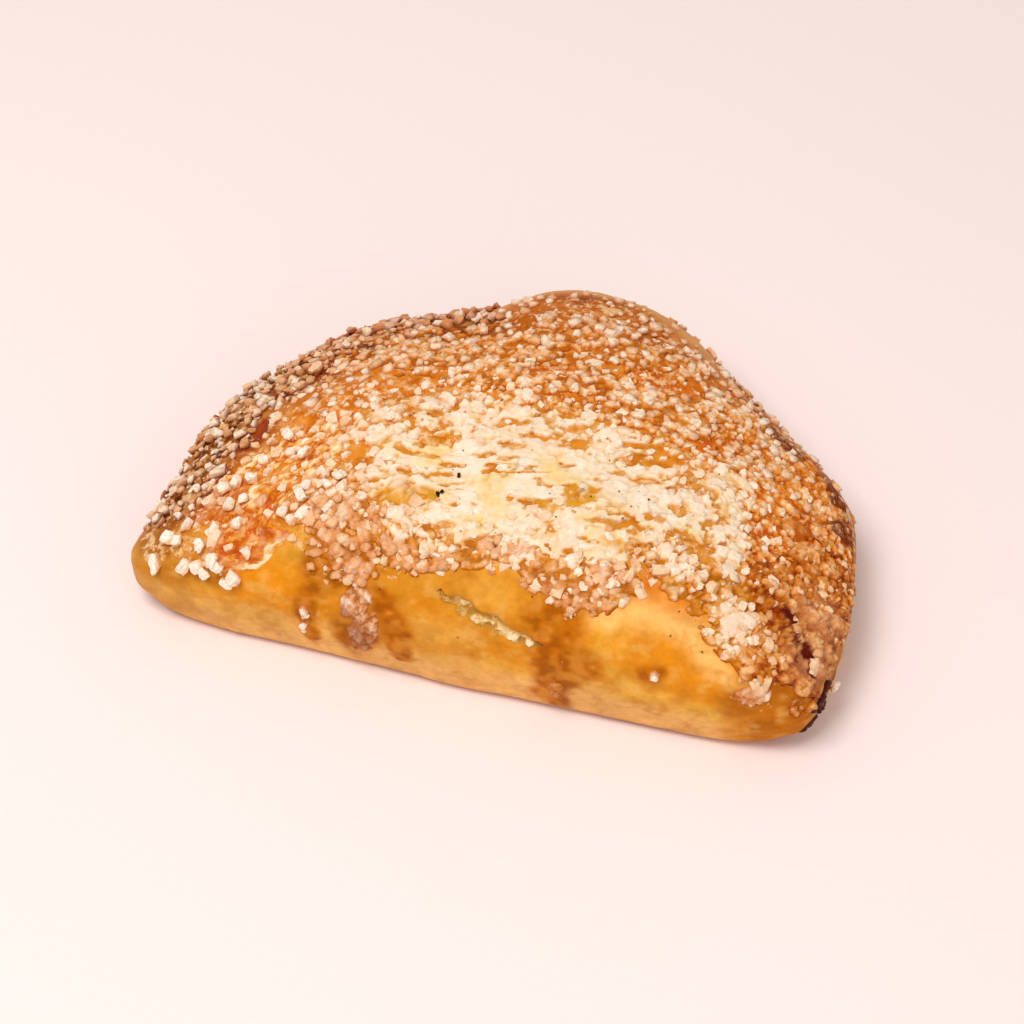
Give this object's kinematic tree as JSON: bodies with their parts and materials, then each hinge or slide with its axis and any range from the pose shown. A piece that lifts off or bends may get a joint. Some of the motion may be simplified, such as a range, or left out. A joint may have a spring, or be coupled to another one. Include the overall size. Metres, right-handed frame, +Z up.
{
  "type": "turnover pastry",
  "caption": "Half-moon pastry: a disc of flaky dough folded over its filling, sealed along the curved edge, baked brown, with coarse sugar on top.",
  "frame": {"origin": "middle of the bounding box's base", "axes": "+X along the straight folded edge, +Y from the fold to the curved sealed edge, +Z up"},
  "size_m": [0.1358, 0.0932, 0.0347],
  "materials": {
    "baked_crust": "egg-washed puff pastry crust, golden to amber, with a soft sheen; matte_plastic stands in for baked dough",
    "coarse_sugar": "coarse sugar crystals, white to toasted tan, slightly see-through; matte_plastic stands in for sugar",
    "melted_sugar": "melted and caramelised sugar and fruit juice, glossy brown; gloss_plastic stands in for caramel"
  },
  "bodies": {
    "root": {"turnover": "baked_crust"}
  },
  "joints": []
}
